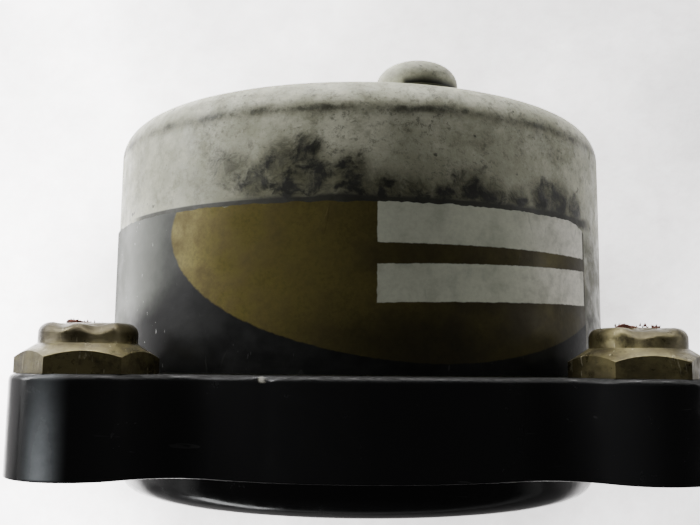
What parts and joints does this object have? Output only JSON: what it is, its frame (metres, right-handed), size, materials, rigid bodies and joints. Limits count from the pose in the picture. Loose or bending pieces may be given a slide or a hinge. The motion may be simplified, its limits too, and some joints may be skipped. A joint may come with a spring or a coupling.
{
  "type": "carburetor air temperature gauge",
  "caption": "Flange-mounted round aircraft temperature indicator: black front case with bezel and lugs, painted rear cover, brass lock nuts and a moving-coil movement.",
  "frame": {"origin": "on the instrument's axis, in the plane of the flange's front face, which rests against the panel", "axes": "-Y out of the dial towards the reader, +Y towards the terminals, +Z towards the top of the dial, +X to the reader's right"},
  "size_m": [0.0596, 0.0465, 0.0596],
  "materials": {
    "black_case": "glossy black moulding, worn edges",
    "window_glass": "clear polished",
    "gasket_rubber": "matt",
    "dark_steel": "blackened",
    "plated_steel": "satin plated",
    "brass": "turned, slightly tarnished",
    "nut_brass": "turned, tarnished and scratched",
    "dial_black": "matt black with white marks",
    "pointer_white": "matt off-white",
    "spring_bronze": "satin",
    "aluminium": "satin",
    "enamelled_wire": "enamelled copper winding",
    "soft_iron": "ground",
    "magnet_alloy": "cast, ground faces",
    "brown_phenolic": "moulded",
    "grey_paint": "satin paint, worn and dirty",
    "lead_insulation": "varnished sleeving",
    "fibre": "red-brown vulcanised fibre, frayed",
    "label_film": "dark printed film, glossy and scuffed"
  },
  "bodies": {
    "case": {"front_case": "black_case", "glass": "window_glass", "glass_gasket": "gasket_rubber", "snap_ring": "dark_steel", "zero_bush": "brass", "dial": "dial_black", "dial_screws": "dark_steel", "dial_posts": "brass", "front_bridge": "brass", "front_bridge_posts": "brass", "front_bridge_screws": "plated_steel", "front_bush": "brass", "iron_core": "soft_iron", "core_supports": "brass", "pole_pieces": "soft_iron", "magnet_ring": "magnet_alloy", "movement_plate": "brass", "magnet_screws": "plated_steel", "plate_screws": "plated_steel", "rear_bridge": "brass", "rear_bridge_posts": "brass", "rear_bridge_screws": "plated_steel", "rear_jewel_screw": "brass", "rear_lock_nut": "brass", "rear_hairspring": "spring_bronze", "rear_spring_stud": "brass", "resistor_spools": "brown_phenolic", "resistor_windings": "enamelled_wire", "spool_screws": "brass", "cover_posts": "brass", "rear_cover": "grey_paint", "cover_screws": "grey_paint", "terminal_studs": "brass", "terminal_insulators": "brown_phenolic", "terminal_washers": "plated_steel", "terminal_nuts": "brass", "lead_wires": "lead_insulation", "mounting_nuts": "nut_brass", "nut_lock_rings": "fibre", "data_label": "label_film"},
    "zero_corrector": {"zero_screw": "plated_steel", "zero_clip": "dark_steel", "zero_eccentric": "brass"},
    "zero_lever": {"zero_arm": "brass", "front_hairspring": "spring_bronze"},
    "moving_coil": {"half_staffs": "plated_steel", "coil_former": "aluminium", "coil_winding": "enamelled_wire", "pointer": "pointer_white", "balance_cross": "brass", "balance_weights": "brass"}
  },
  "joints": [
    {"name": "zero_screw_turn", "type": "hinge", "parent": "case", "child": "zero_corrector", "pos_m": [0, -0.0029, -0.0185], "axis": [0, 1, 0], "range_deg": [-40, 40]},
    {"name": "zero_lever_turn", "type": "hinge", "parent": "case", "child": "zero_lever", "pos_m": [0, 0.006, -0.006], "axis": [0, 1, 0], "range_deg": [-3.6, 3.6]},
    {"name": "pointer_turn", "type": "hinge", "parent": "zero_lever", "child": "moving_coil", "pos_m": [0, 0.004, -0.006], "axis": [0, 1, 0], "range_deg": [0, 108], "stiffness_Nm_per_rad": 0.0004, "deforming": ["front_hairspring", "rear_hairspring"]}
  ],
  "couplings": [
    {"joint": "zero_lever_turn", "follows": "zero_screw_turn", "ratio": -0.087}
  ]
}
